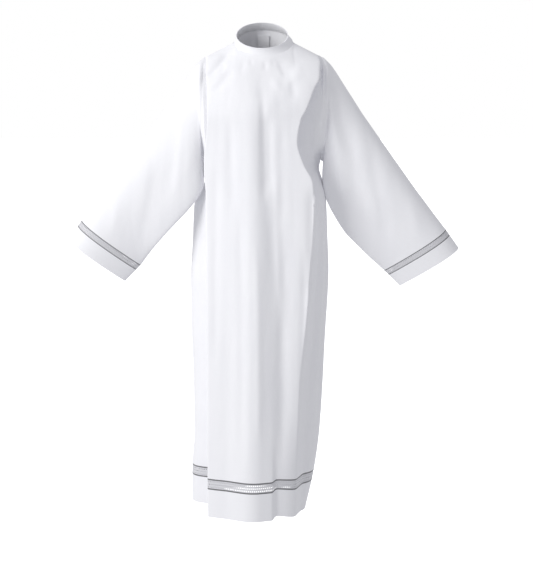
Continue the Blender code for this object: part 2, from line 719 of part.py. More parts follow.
white = material("white cotton blend", WHITE_CLOTH, 0.8)
openwork = material("grey openwork", GREY_OPENWORK, 0.7)
make_collar(white)
make_body(white)
make_placket(white)
make_sleeves(white, openwork)
make_hem(white, openwork)
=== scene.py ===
import math
from collections import namedtuple

import bpy
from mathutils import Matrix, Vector, noise


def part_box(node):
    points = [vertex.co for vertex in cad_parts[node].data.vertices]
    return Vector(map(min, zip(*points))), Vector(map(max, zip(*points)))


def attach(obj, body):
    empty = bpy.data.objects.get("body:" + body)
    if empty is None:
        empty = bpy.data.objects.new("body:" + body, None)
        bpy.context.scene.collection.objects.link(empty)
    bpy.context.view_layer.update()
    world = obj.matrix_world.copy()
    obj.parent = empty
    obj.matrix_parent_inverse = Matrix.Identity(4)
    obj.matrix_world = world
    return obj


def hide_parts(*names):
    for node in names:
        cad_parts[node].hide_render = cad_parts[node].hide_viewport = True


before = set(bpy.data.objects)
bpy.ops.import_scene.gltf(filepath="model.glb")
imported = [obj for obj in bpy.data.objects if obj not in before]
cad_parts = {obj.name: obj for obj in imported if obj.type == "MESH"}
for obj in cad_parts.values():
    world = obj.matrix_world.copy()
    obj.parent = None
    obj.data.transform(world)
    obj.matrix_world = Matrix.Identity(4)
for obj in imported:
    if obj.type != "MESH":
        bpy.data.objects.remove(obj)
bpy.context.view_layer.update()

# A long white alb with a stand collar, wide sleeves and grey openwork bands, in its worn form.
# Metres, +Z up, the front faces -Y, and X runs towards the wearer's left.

CLOTH = 0.0011          # thickness of the body and sleeve cloth
HEM_CLOTH = 2 * CLOTH   # turned up double
COLLAR_CLOTH = 0.0020   # two layers and an interlining
BAND_CLOTH = 0.0008     # openwork

SHOULDER_X = 0.1755
SHOULDER_Z = -0.043
ARMPIT_Z = -0.346
CHEST_Z = -0.220
NECK_HALF_WIDTH = 0.087
NECK_HALF_DEPTH = 0.071
NECK_MIDDLE_Y = 0.0055
NECK_TILT = 0.542
RIM_HALF_WIDTH = 0.077
RIM_HALF_DEPTH = 0.060
RIM_MIDDLE_X = -0.004
RIM_MIDDLE_Y = -0.0055
RIM_MIDDLE_Z = 0.0205
RIM_TILT = 0.653
BAND_TOP_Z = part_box("hem_band_front")[1][2]
BAND_LOW_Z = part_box("hem_band_front")[0][2]
HEM_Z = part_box("hem_border_front")[0][2]

# Fall lines: lines that run down the cloth, as level, x and y. A level section of the body joins
# them in turn: side seam, root of the pleat, edge of the pleat, middle of the panel.
Fall = namedtuple("Fall", "z x y")

SIDE_RIGHT = (
    Fall(-0.346, -0.1690, 0.000),
    Fall(-0.375, -0.1685, 0.004),
    Fall(-0.400, -0.1730, 0.008),
    Fall(-0.440, -0.1900, 0.012),
    Fall(-0.480, -0.2090, 0.018),
    Fall(-0.590, -0.2150, 0.025),
    Fall(-0.710, -0.2220, 0.030),
    Fall(-0.860, -0.2210, 0.030),
    Fall(-1.000, -0.2165, 0.030),
    Fall(-1.180, -0.2150, 0.030),
    Fall(-1.300, -0.2230, 0.034),
    Fall(-1.408, -0.2240, 0.034),
)
SIDE_LEFT = (
    Fall(-0.346, 0.1700, 0.000),
    Fall(-0.368, 0.1665, 0.004),
    Fall(-0.410, 0.1785, 0.010),
    Fall(-0.462, 0.1885, 0.015),
    Fall(-0.587, 0.1945, 0.020),
    Fall(-0.678, 0.1980, 0.020),
    Fall(-0.894, 0.1880, 0.020),
    Fall(-1.020, 0.1825, 0.015),
    Fall(-1.177, 0.1725, 0.005),
    Fall(-1.296, 0.1560, -0.010),
    Fall(-1.408, 0.1300, -0.030),
)
FRONT_ARMHOLE_RIGHT = (
    Fall(-0.043, -0.1755, 0.000),
    Fall(-0.060, -0.1760, -0.034),
    Fall(-0.090, -0.1757, -0.064),
    Fall(-0.150, -0.1745, -0.094),
    Fall(-0.220, -0.1725, -0.103),
    Fall(-0.310, -0.1695, -0.088),
)
FRONT_ARMHOLE_LEFT = (
    Fall(-0.043, 0.1755, 0.000),
    Fall(-0.060, 0.1755, -0.027),
    Fall(-0.090, 0.1755, -0.050),
    Fall(-0.150, 0.1740, -0.070),
    Fall(-0.220, 0.1710, -0.075),
    Fall(-0.290, 0.1690, -0.056),
)
BACK_ARMHOLE_RIGHT = (
    Fall(-0.043, -0.1755, 0.000),
    Fall(-0.060, -0.1745, 0.024),
    Fall(-0.090, -0.1710, 0.046),
    Fall(-0.150, -0.1630, 0.068),
    Fall(-0.220, -0.1580, 0.075),
    Fall(-0.290, -0.1645, 0.060),
)
BACK_ARMHOLE_LEFT = tuple(Fall(row.z, -row.x, row.y) for row in BACK_ARMHOLE_RIGHT)

FRONT_ROOT_RIGHT = (
    Fall(-0.040, -0.168, 0.000),
    Fall(-0.060, -0.161, -0.034),
    Fall(-0.090, -0.153, -0.064),
    Fall(-0.150, -0.146, -0.092),
    Fall(-0.220, -0.143, -0.102),
    Fall(-0.346, -0.146, -0.096),
    Fall(-0.420, -0.148, -0.090),
    Fall(-0.480, -0.150, -0.078),
    Fall(-0.700, -0.150, -0.060),
    Fall(-1.000, -0.150, -0.042),
    Fall(-1.300, -0.154, -0.024),
    Fall(-1.408, -0.156, -0.020),
)
FRONT_ROOT_LEFT = (
    Fall(-0.040, 0.168, 0.000),
    Fall(-0.060, 0.160, -0.026),
    Fall(-0.090, 0.152, -0.048),
    Fall(-0.130, 0.134, -0.064),
    Fall(-0.221, 0.094, -0.078),
    Fall(-0.287, 0.083, -0.080),
    Fall(-0.350, 0.100, -0.080),
    Fall(-0.405, 0.132, -0.082),
    Fall(-0.462, 0.156, -0.086),
    Fall(-0.570, 0.164, -0.085),
    Fall(-0.804, 0.152, -0.082),
    Fall(-1.040, 0.135, -0.082),
    Fall(-1.293, 0.120, -0.085),
    Fall(-1.408, 0.113, -0.088),
)
FRONT_EDGE_RIGHT = (
    Fall(-0.037, -0.1600, -0.118),
    Fall(-0.060, -0.1685, -0.118),
    Fall(-0.087, -0.1700, -0.118),
    Fall(-0.120, -0.1670, -0.118),
    Fall(-0.220, -0.1650, -0.116),
    Fall(-0.275, -0.1680, -0.113),
    Fall(-0.320, -0.1745, -0.111),
    Fall(-0.375, -0.1762, -0.111),
    Fall(-0.440, -0.1710, -0.111),
    Fall(-0.700, -0.1695, -0.119),
    Fall(-1.000, -0.1690, -0.132),
    Fall(-1.408, -0.1700, -0.145),
)
FRONT_EDGE_LEFT = (
    Fall(-0.037, 0.1600, -0.118),
    Fall(-0.060, 0.1680, -0.118),
    Fall(-0.105, 0.1650, -0.118),
    Fall(-0.130, 0.1520, -0.118),
    Fall(-0.195, 0.1260, -0.118),
    Fall(-0.221, 0.1115, -0.130),
    Fall(-0.287, 0.1006, -0.136),
    Fall(-0.350, 0.1190, -0.140),
    Fall(-0.405, 0.1460, -0.144),
    Fall(-0.462, 0.1490, -0.147),
    Fall(-0.570, 0.1460, -0.150),
    Fall(-0.804, 0.1290, -0.150),
    Fall(-1.040, 0.1090, -0.150),
    Fall(-1.293, 0.0980, -0.146),
    Fall(-1.408, 0.0950, -0.143),
)
# The front panel bends outwards along its ridge, and inwards along its valley. The two start
# together on the chest and part towards the hem.
FRONT_RIDGE = (
    Fall(-0.220, -0.026, -0.148),
    Fall(-0.350, -0.025, -0.154),
    Fall(-0.480, -0.024, -0.161),
    Fall(-0.700, -0.025, -0.172),
    Fall(-1.000, -0.028, -0.187),
    Fall(-1.296, -0.034, -0.200),
    Fall(-1.408, -0.036, -0.204),
)
FRONT_VALLEY = (
    Fall(-0.220, -0.001, -0.139),
    Fall(-0.350, 0.004, -0.141),
    Fall(-0.450, 0.015, -0.143),
    Fall(-0.600, 0.041, -0.141),
    Fall(-0.820, 0.058, -0.147),
    Fall(-1.040, 0.064, -0.155),
    Fall(-1.296, 0.066, -0.168),
    Fall(-1.408, 0.066, -0.170),
)
BACK_ROOT_RIGHT = (
    Fall(-0.040, -0.168, 0.000),
    Fall(-0.060, -0.158, 0.028),
    Fall(-0.100, -0.140, 0.055),
    Fall(-0.200, -0.116, 0.078),
    Fall(-0.300, -0.106, 0.080),
    Fall(-0.450, -0.120, 0.068),
    Fall(-0.800, -0.128, 0.060),
    Fall(-1.100, -0.126, 0.062),
    Fall(-1.408, -0.120, 0.070),
)
BACK_EDGE_RIGHT = (
    Fall(-0.037, -0.160, 0.105),
    Fall(-0.060, -0.166, 0.105),
    Fall(-0.100, -0.160, 0.105),
    Fall(-0.200, -0.140, 0.105),
    Fall(-0.300, -0.132, 0.108),
    Fall(-0.450, -0.140, 0.105),
    Fall(-0.800, -0.152, 0.112),
    Fall(-1.100, -0.154, 0.125),
    Fall(-1.408, -0.150, 0.140),
)
BACK_ROOT_LEFT = (
    Fall(-0.040, 0.168, 0.000),
    Fall(-0.060, 0.158, 0.028),
    Fall(-0.100, 0.140, 0.055),
    Fall(-0.200, 0.116, 0.078),
    Fall(-0.300, 0.106, 0.080),
    Fall(-0.450, 0.118, 0.068),
    Fall(-0.800, 0.120, 0.060),
    Fall(-1.100, 0.102, 0.060),
    Fall(-1.408, 0.082, 0.060),
)
BACK_EDGE_LEFT = (
    Fall(-0.037, 0.160, 0.105),
    Fall(-0.060, 0.166, 0.105),
    Fall(-0.100, 0.160, 0.105),
    Fall(-0.200, 0.140, 0.105),
    Fall(-0.300, 0.132, 0.108),
    Fall(-0.450, 0.138, 0.105),
    Fall(-0.800, 0.142, 0.112),
    Fall(-1.100, 0.128, 0.125),
    Fall(-1.408, 0.110, 0.138),
)
BACK_MIDDLE = (
    Fall(-0.220, 0.0, 0.122),
    Fall(-0.330, 0.0, 0.122),
    Fall(-0.500, 0.0, 0.118),
    Fall(-0.800, 0.0, 0.130),
    Fall(-1.100, 0.0, 0.150),
    Fall(-1.408, 0.0, 0.172),
)

# Rings of a sleeve, from the shoulder to the cuff: the top and the low end, then how far the
# cloth stands out in front of and behind the line between them.
Ring = namedtuple("Ring", "top_x top_y top_z low_x low_y low_z front back")
SLEEVE_RIGHT = (
    Ring(-0.1890, 0.000, -0.0560, -0.1795, -0.044, -0.3820, 0.074, 0.063),
    Ring(-0.2050, 0.000, -0.0720, -0.1760, -0.072, -0.4180, 0.058, 0.068),
    Ring(-0.2430, -0.003, -0.1260, -0.2060, -0.084, -0.4700, 0.049, 0.074),
    Ring(-0.3050, -0.008, -0.2090, -0.2640, -0.082, -0.5330, 0.045, 0.072),
    Ring(-0.3780, -0.015, -0.3060, -0.3080, -0.074, -0.5810, 0.043, 0.068),
    Ring(-0.4520, -0.022, -0.4035, -0.3400, -0.060, -0.6200, 0.045, 0.062),
    Ring(-0.5426, -0.030, -0.5228, -0.3670, -0.045, -0.6560, 0.048, 0.055),
    Ring(-0.5552, -0.030, -0.5396, -0.3815, -0.045, -0.6710, 0.048, 0.055),
    Ring(-0.5840, -0.030, -0.5780, -0.4145, -0.045, -0.7050, 0.048, 0.055),
)
SLEEVE_LEFT = (
    Ring(0.1880, 0.004, -0.0540, 0.1850, -0.006, -0.3600, 0.056, 0.060),
    Ring(0.2070, 0.010, -0.0745, 0.1745, -0.022, -0.3900, 0.042, 0.056),
    Ring(0.2450, 0.012, -0.1320, 0.1880, -0.030, -0.4640, 0.043, 0.054),
    Ring(0.3050, 0.009, -0.2235, 0.2366, -0.026, -0.5505, 0.050, 0.054),
    Ring(0.3750, 0.003, -0.3210, 0.2780, -0.023, -0.5960, 0.052, 0.053),
    Ring(0.4520, -0.004, -0.4285, 0.3210, -0.018, -0.6380, 0.052, 0.054),
    Ring(0.5465, -0.012, -0.5520, 0.3635, -0.012, -0.6770, 0.050, 0.052),
    Ring(0.5590, -0.012, -0.5690, 0.3780, -0.012, -0.6910, 0.050, 0.052),
    Ring(0.5870, -0.012, -0.6080, 0.4120, -0.012, -0.7240, 0.050, 0.052),
)
BAND_RING = 7           # ring at the upper edge of the cuff band, counting the armhole as 0
BORDER_RING = 8         # ring at its lower edge
CUFF_RING = 9

# Soft folds of a panel, each a straight line down the cloth.
Fold = namedtuple("Fold", "top_x top_z low_x low_z depth width fade")
FRONT_FOLDS = (
    Fold(-0.003, -0.120, 0.003, -0.480, 0.004, 0.010, 0.080),
    Fold(-0.096, -0.200, -0.090, -0.520, 0.003, 0.014, 0.100),
    Fold(-0.100, -0.640, -0.115, -1.600, 0.003, 0.022, 0.300),
)
BACK_FOLDS = (
    Fold(-0.070, -0.160, -0.085, -1.700, 0.012, 0.020, 0.150),
    Fold(-0.030, -0.320, -0.036, -1.700, -0.010, 0.020, 0.220),
    Fold(0.048, -0.200, 0.044, -1.700, 0.013, 0.020, 0.180),
    Fold(0.088, -0.380, 0.078, -1.700, -0.008, 0.018, 0.200),
)
SLEEVE_FOLDS = (
    Fold(0.188, -0.090, 0.238, -0.440, -0.005, 0.012, 0.080),
    Fold(0.202, -0.100, 0.268, -0.480, 0.005, 0.016, 0.100),
    Fold(0.290, -0.240, 0.330, -0.560, -0.005, 0.020, 0.120),
    Fold(-0.188, -0.110, -0.196, -0.400, 0.003, 0.012, 0.080),
    Fold(-0.205, -0.120, -0.225, -0.440, -0.004, 0.014, 0.090),
    Fold(-0.250, -0.180, -0.285, -0.500, 0.006, 0.020, 0.120),
)
HEM_STEP_X = 0.027      # edge of a fold that opens towards the hem
HEM_STEP_TOP_Z = -1.120
HEM_STEP_DEPTH = 0.012
HEM_STEP_LIFT = 0.010   # how much higher the cloth hangs beyond that edge
HEM_STEP_WIDTH = 0.010
HEM_STEP_REACH = 0.090  # width over which the cloth comes forward and down again

# Creases pressed into the finished cloth. `a` runs across: x on the front and the back, y on the
# sides. `left` and `right` are its widths on the two sides of its line, `bow` its sideways bend.
Crease = namedtuple("Crease", "top_a top_z low_a low_z bow depth left right fade")
FRONT_CREASES = (
    # neck and shoulders
    Crease(-0.098, -0.022, -0.166, -0.106, 0.004, 0.0042, 0.008, 0.012, 0.024),
    Crease(-0.112, -0.060, -0.130, -0.094, 0.002, 0.0020, 0.006, 0.008, 0.016),
    Crease(-0.090, -0.072, -0.146, -0.150, 0.003, 0.0030, 0.010, 0.014, 0.030),
    Crease(-0.122, -0.030, -0.172, -0.080, -0.002, -0.0022, 0.010, 0.010, 0.020),
    Crease(0.078, -0.034, 0.074, -0.200, 0.000, 0.0042, 0.052, 0.038, 0.050),
    Crease(0.004, -0.046, 0.004, -0.180, 0.000, 0.0042, 0.030, 0.045, 0.040),
    Crease(0.036, -0.044, 0.066, -0.104, 0.003, 0.0024, 0.008, 0.018, 0.020),
    Crease(0.013, -0.190, 0.019, -0.450, 0.000, 0.0040, 0.014, 0.014, 0.060),
    Crease(0.054, -0.215, 0.046, -0.560, 0.000, 0.0020, 0.014, 0.016, 0.080),
    # beside the armhole
    Crease(0.152, -0.180, 0.143, -0.380, 0.000, -0.0032, 0.005, 0.007, 0.060),
    Crease(0.166, -0.190, 0.161, -0.350, 0.000, -0.0026, 0.005, 0.006, 0.060),
    Crease(0.1725, -0.062, 0.1720, -0.170, 0.000, 0.0085, 0.005, 0.008, 0.025),
    # middle of the chest
    Crease(0.030, -0.090, 0.046, -0.150, 0.000, -0.0022, 0.014, 0.014, 0.030),
    Crease(0.080, -0.095, 0.092, -0.170, 0.000, 0.0018, 0.010, 0.012, 0.030),
    Crease(-0.034, -0.046, -0.036, -0.072, 0.000, 0.0014, 0.005, 0.005, 0.012),
    Crease(0.004, -0.050, 0.006, -0.086, 0.000, 0.0018, 0.006, 0.006, 0.014),
    Crease(0.026, -0.048, 0.030, -0.070, 0.000, 0.0014, 0.005, 0.006, 0.010),
    Crease(0.108, -0.050, 0.084, -0.130, 0.000, -0.0026, 0.016, 0.020, 0.030),
    Crease(-0.056, -0.044, -0.066, -0.100, 0.000, 0.0012, 0.008, 0.008, 0.024),
    # folds of the skirt
    Crease(-0.070, -0.420, -0.068, -1.300, 0.004, 0.0022, 0.012, 0.016, 0.200),
    Crease(-0.140, -0.300, -0.146, -0.980, 0.002, 0.0020, 0.010, 0.014, 0.150),
    Crease(0.145, -0.400, 0.141, -0.760, 0.000, 0.0058, 0.018, 0.012, 0.070),
    Crease(0.118, -0.560, 0.112, -1.150, 0.004, 0.0035, 0.012, 0.012, 0.160),
    Crease(0.057, -0.720, 0.054, -1.300, 0.000, 0.0034, 0.018, 0.016, 0.150),
    Crease(0.038, -0.330, 0.050, -0.800, -0.003, -0.0020, 0.010, 0.012, 0.140),
    Crease(-0.022, -0.520, -0.014, -1.240, 0.002, -0.0022, 0.010, 0.012, 0.200),
)
BACK_CREASES = (
    Crease(-0.100, -0.030, -0.158, -0.115, 0.003, 0.0035, 0.008, 0.011, 0.022),
    Crease(0.104, -0.032, 0.160, -0.108, -0.003, 0.0035, 0.011, 0.008, 0.022),
    Crease(0.000, -0.375, -0.004, -0.900, 0.004, 0.0040, 0.010, 0.012, 0.080),
    Crease(0.020, -0.300, 0.014, -1.350, 0.003, 0.0025, 0.012, 0.012, 0.220),
    Crease(-0.108, -0.420, -0.112, -1.360, -0.004, 0.0030, 0.010, 0.014, 0.240),
    Crease(0.070, -0.550, 0.062, -1.380, 0.003, 0.0024, 0.010, 0.014, 0.200),
    Crease(0.112, -0.300, 0.106, -0.760, 0.000, -0.0025, 0.010, 0.012, 0.160),
)
SLEEVE_FRONT_CREASES = (
    Crease(0.181, -0.058, 0.184, -0.180, 0.000, 0.0080, 0.005, 0.007, 0.030),
    Crease(0.177, -0.160, 0.181, -0.330, 0.000, -0.0024, 0.005, 0.006, 0.040),
    Crease(0.189, -0.110, 0.246, -0.480, 0.000, -0.0055, 0.014, 0.036, 0.060),
    Crease(0.300, -0.250, 0.392, -0.660, -0.004, 0.0026, 0.018, 0.022, 0.150),
    Crease(0.430, -0.430, 0.470, -0.610, 0.000, -0.0024, 0.018, 0.018, 0.090),
    Crease(-0.232, -0.160, -0.262, -0.480, 0.003, -0.0020, 0.012, 0.014, 0.130),
    Crease(-0.300, -0.260, -0.370, -0.620, 0.006, 0.0022, 0.018, 0.020, 0.150),
    Crease(-0.420, -0.420, -0.455, -0.600, 0.000, -0.0020, 0.018, 0.018, 0.090),
)
SLEEVE_BACK_CREASES = (
    Crease(0.195, -0.120, 0.225, -0.400, -0.003, 0.0040, 0.008, 0.010, 0.080),
    Crease(0.230, -0.170, 0.275, -0.500, -0.004, -0.0035, 0.012, 0.014, 0.120),
    Crease(0.310, -0.270, 0.390, -0.650, -0.004, 0.0035, 0.016, 0.020, 0.140),
    Crease(-0.195, -0.120, -0.222, -0.400, 0.003, 0.0040, 0.008, 0.010, 0.080),
    Crease(-0.235, -0.170, -0.280, -0.500, 0.004, -0.0035, 0.012, 0.014, 0.120),
    Crease(-0.320, -0.280, -0.400, -0.640, 0.004, 0.0035, 0.016, 0.020, 0.140),
)
RIGHT_SIDE_CREASES = (
    Crease(-0.085, -0.560, -0.085, -0.670, 0.006, 0.0050, 0.008, 0.008, 0.040),
    Crease(-0.050, -0.450, -0.060, -1.100, 0.004, 0.0040, 0.010, 0.012, 0.150),
    Crease(0.050, -0.450, 0.060, -1.250, 0.004, 0.0035, 0.010, 0.012, 0.180),
)
LEFT_SIDE_CREASES = (
    Crease(-0.050, -0.480, -0.050, -1.200, 0.004, 0.0040, 0.010, 0.012, 0.180),
    Crease(0.045, -0.450, 0.040, -1.250, 0.004, 0.0040, 0.010, 0.012, 0.180),
)

SHARP_ANGLE = math.radians(55)
PLEAT_COLUMNS = 12      # between two fall lines of a pleat
FRONT_COLUMNS = 108
BACK_COLUMNS = 52       # half of the back
ROW_SPACING = 0.0055
ROW_CROWDING = 1.12     # over 1 brings the rows near the neck closer together
BLEND_DEPTH = 0.300
SPREAD_DEPTH = 0.200
SHOULDER_SHARE = 0.22
CHEST_CURVE = 1.6
YOKE_CURVE = 0.55
PANEL_CURVE = 2.2
EDGE_FADE = 6           # how sharply a panel's folds die out at its edges
CHEST_MIDDLE = (-0.005, -0.148)  # x and y of the front of the chest
RIDGE_REACH = 0.027     # half the width over which the cloth turns at the ridge
VALLEY_REACH = 0.022
BEND_DEPTHS = (0.10, 0.23)  # between these the round chest goes over into the bent panel
PLEAT_DEPTHS = (0.34, 0.44)
PLEAT_SQUARE = 0.8
RING_POINTS = 144
SLEEVE_ROW_COUNT = 112
CUFF_ROW_COUNT = 10
HEM_ROW_COUNT = 18
CORNER_EASING = 3       # times that the corners of a row are rounded
ARM_FULLNESS = 0.5      # how much fuller a sleeve is over the arm than where it hangs below


def clamp(value):
    return min(max(value, 0.0), 1.0)


def ease(value):
    t = clamp(value)
    return t * t * (3 - 2 * t)


def mix(a, b, t):
    return a + (b - a) * t


def tangents(rows):
    """Slopes at the rows of a column that keep its curve from overshooting."""
    slopes = [(b[1] - a[1]) / (b[0] - a[0]) for a, b in zip(rows, rows[1:])]
    found = [slopes[0]]
    for before, after in zip(slopes, slopes[1:]):
        level_there = before * after <= 0
        found.append(0.0 if level_there else 2 * before * after / (before + after))
    return found + [slopes[-1]]


curves = {}


def read(table, z, column):
    """A column of a table at a level, on a smooth curve through its rows."""
    key = (id(table), column)
    if key not in curves:
        rows = [(row.z, getattr(row, column)) for row in table]
        curves[key] = (table, rows, tangents(rows))
    rows, slopes = curves[key][1:]
    if z >= rows[0][0]:
        return rows[0][1]
    if z <= rows[-1][0]:
        return rows[-1][1]
    at = next(i for i in range(len(rows) - 1) if rows[i + 1][0] <= z)
    (z0, v0), (z1, v1) = rows[at], rows[at + 1]
    span = z1 - z0
    t = (z - z0) / span
    m0, m1 = slopes[at] * span, slopes[at + 1] * span
    return (
        (2 * t ** 3 - 3 * t ** 2 + 1) * v0
        + (t ** 3 - 2 * t ** 2 + t) * m0
        + (3 * t ** 2 - 2 * t ** 3) * v1
        + (t ** 3 - t ** 2) * m1
    )


RIGHT_FRONT_SEAM = FRONT_ARMHOLE_RIGHT + SIDE_RIGHT
LEFT_FRONT_SEAM = FRONT_ARMHOLE_LEFT + SIDE_LEFT
RIGHT_BACK_SEAM = BACK_ARMHOLE_RIGHT + SIDE_RIGHT
LEFT_BACK_SEAM = BACK_ARMHOLE_LEFT + SIDE_LEFT


def fall_point(table, z):
    return Vector((read(table, z, "x"), read(table, z, "y"), z))


def level(top_z, depth):
    return -depth + top_z * (1 - ease(depth / BLEND_DEPTH))


def neck_point(angle, raise_by=0.0):
    """A point of the neck seam: angle 0 is the wearer's left, and -90 degrees is the front."""
    x = NECK_HALF_WIDTH * math.cos(angle)
    y = NECK_MIDDLE_Y + NECK_HALF_DEPTH * math.sin(angle)
    return Vector((x, y, NECK_TILT * NECK_HALF_DEPTH * math.sin(angle) + raise_by))


def rim_point(angle):
    x = RIM_MIDDLE_X + RIM_HALF_WIDTH * math.cos(angle)
    rise = RIM_HALF_DEPTH * math.sin(angle)
    return Vector((x, RIM_MIDDLE_Y + rise, RIM_MIDDLE_Z + RIM_TILT * rise))


def panel_top(share, front):
    edge_x = FRONT_EDGE_LEFT[0].x
    edge_z = FRONT_EDGE_LEFT[0].z
    if share < SHOULDER_SHARE or share > 1 - SHOULDER_SHARE:
        side = -1 if share < 0.5 else 1
        t = min(share, 1 - share) / SHOULDER_SHARE
        return Vector((
            side * mix(edge_x, NECK_HALF_WIDTH, t),
            mix(0.0, NECK_MIDDLE_Y, t),
            mix(edge_z, 0.0, t),
        ))
    across = (share - SHOULDER_SHARE) / (1 - 2 * SHOULDER_SHARE)
    turn = math.pi * (1 - across)
    return neck_point(-turn if front else turn)


def fold_depth(folds, x, z):
    total = 0.0
    for fold in folds:
        t = (z - fold.top_z) / (fold.low_z - fold.top_z)
        if not 0 < t < 1:
            continue
        length = fold.top_z - fold.low_z
        strength = ease(t * length / fold.fade) * ease((1 - t) * length / fold.fade)
        away = (x - mix(fold.top_x, fold.low_x, t)) / fold.width
        if abs(away) < 3:
            total += fold.depth * strength * math.exp(-away * away)
    return total


def hem_step(x, z):
    """The fold that opens towards the hem: the cloth on the wearer's left of it lies deeper."""
    opened = ease((z - HEM_STEP_TOP_Z) / (HEM_Z - HEM_STEP_TOP_Z))
    past = ease((x - HEM_STEP_X) / HEM_STEP_WIDTH)
    return opened * past * (1 - ease((x - HEM_STEP_X) / HEM_STEP_REACH))


def chest_share(depth, roundness):
    left = 1 - clamp(depth / -CHEST_Z)
    return (1 - left ** CHEST_CURVE) ** roundness


def turned(distance, reach):
    """0 before a bend and the distance after it, with a smooth turn between."""
    if distance <= -reach:
        return 0.0
    if distance >= reach:
        return distance
    return (distance + reach) ** 2 / (4 * reach)


def bent_y(x, z):
    """Where the front panel hangs: flat stretches that meet along its ridge and its valley."""
    right, ridge, valley, left = (
        fall_point(table, z)
        for table in (FRONT_EDGE_RIGHT, FRONT_RIDGE, FRONT_VALLEY, FRONT_EDGE_LEFT)
    )
    first = (ridge.y - right.y) / (ridge.x - right.x)
    second = (valley.y - ridge.y) / (valley.x - ridge.x)
    third = (left.y - valley.y) / (left.x - valley.x)
    return (
        right.y + first * (x - right.x)
        + (second - first) * turned(x - ridge.x, RIDGE_REACH)
        + (third - second) * turned(x - valley.x, VALLEY_REACH)
    )


def panel_point(share, depth, front):
    """A point of the panel between its pleat edges; share 0 is the right edge, 1 the left."""
    top = panel_top(share, front)
    z = level(top.z, depth)
    right, left = (
        (FRONT_EDGE_RIGHT, FRONT_EDGE_LEFT) if front else (BACK_EDGE_RIGHT, BACK_EDGE_LEFT)
    )
    right_x, left_x = read(right, z, "x"), read(left, z, "x")
    top_share = (top.x - right[0].x) / (left[0].x - right[0].x)
    placed = mix(top_share, share, ease(depth / SPREAD_DEPTH))
    x = mix(right_x, left_x, placed)
    hang_z = min(z, CHEST_Z)
    middle_x, middle_y = CHEST_MIDDLE
    if not front:
        middle_x, middle_y = read(BACK_MIDDLE, hang_z, "x"), read(BACK_MIDDLE, hang_z, "y")
    edge, edge_x = (right, right_x) if x < middle_x else (left, left_x)
    away = clamp((x - middle_x) / (edge_x - middle_x))
    hung_y = mix(middle_y, read(edge, hang_z, "y"), away ** PANEL_CURVE)
    if front:
        bend_start, bend_end = BEND_DEPTHS
        bent = ease((depth - bend_start) / (bend_end - bend_start))
        hung_y = mix(hung_y, bent_y(x, hang_z), bent)
    roundness = mix(1.0, YOKE_CURVE, ease(abs(top.x) / SHOULDER_X))
    y = mix(top.y, hung_y, chest_share(depth, roundness))
    if front:
        step = hem_step(x, z) * (1 - away ** EDGE_FADE)
        y += fold_depth(FRONT_FOLDS, x, z) * (1 - away ** EDGE_FADE) + HEM_STEP_DEPTH * step
        z += HEM_STEP_LIFT * step
    else:
        y -= fold_depth(BACK_FOLDS, x, z) * (1 - away ** EDGE_FADE)
    return Vector((x, y, z))


def curve_between(start, bend, end, count):
    points = []
    for i in range(count):
        t = i / count
        points.append(start * (1 - t) ** 2 + bend * 2 * t * (1 - t) + end * t ** 2)
    return points


def pleat_points(seam, root, edge_point, depth):
    """Points of a row from the side seam round the pleat to its edge, which is left out."""
    seam_point = fall_point(seam, level(seam[0].z, depth))
    root_point = fall_point(root, level(root[0].z, depth))
    square_y = mix(seam_point.y, root_point.y, PLEAT_SQUARE)
    bend = Vector((seam_point.x, square_y, seam_point.z))
    slant_end, square_start = PLEAT_DEPTHS
    upper = 1 - ease((depth - slant_end) / (square_start - slant_end))
    bend.x = mix(bend.x, (seam_point.x + root_point.x) / 2, upper)
    points = curve_between(seam_point, bend, root_point, PLEAT_COLUMNS)
    middle = (root_point + edge_point) / 2
    return points + curve_between(root_point, middle, edge_point, PLEAT_COLUMNS)


def front_row(depth):
    edge_right = panel_point(0.0, depth, True)
    edge_left = panel_point(1.0, depth, True)
    right = pleat_points(RIGHT_FRONT_SEAM, FRONT_ROOT_RIGHT, edge_right, depth)
    left = pleat_points(LEFT_FRONT_SEAM, FRONT_ROOT_LEFT, edge_left, depth)
    panel = [panel_point(i / FRONT_COLUMNS, depth, True) for i in range(FRONT_COLUMNS + 1)]
    return right + panel + left[::-1]


def back_half_row(depth, left):
    side = 1.0 if left else 0.0
    edge_point = panel_point(side, depth, False)
    seam = LEFT_BACK_SEAM if left else RIGHT_BACK_SEAM
    root = BACK_ROOT_LEFT if left else BACK_ROOT_RIGHT
    pleat = pleat_points(seam, root, edge_point, depth)
    shares = [mix(side, 0.5, i / BACK_COLUMNS) for i in range(BACK_COLUMNS + 1)]
    row = pleat + [panel_point(share, depth, False) for share in shares]
    return row if left else row[::-1]


def back_row(depth):
    return back_half_row(depth, True)[:-1] + back_half_row(depth, False)


def ring_points(sleeve, armhole_front, armhole_back, number):
    """A ring of a sleeve, from its top down the front, and up the back."""
    half = RING_POINTS // 2
    angles = [math.pi * i / half for i in range(2 * half)]
    if number == 0:
        points = []
        for angle in angles:
            z = mix(SHOULDER_Z, ARMPIT_Z, (1 - math.cos(angle)) / 2)
            table = armhole_front if angle <= math.pi else armhole_back
            points.append(fall_point(table, z))
        return points
    ring = sleeve[number - 1]
    top = Vector((ring.top_x, ring.top_y, ring.top_z))
    low = Vector((ring.low_x, ring.low_y, ring.low_z))
    points = []
    for angle in angles:
        point = (top + low) / 2 + (top - low) / 2 * math.cos(angle)
        out = math.sin(angle) * (1 + ARM_FULLNESS * math.cos(angle))
        if angle <= math.pi:
            point.y += (fold_depth(SLEEVE_FOLDS, point.x, point.z) - ring.front) * out
        else:
            point.y -= ring.back * out
        points.append(point)
    return points


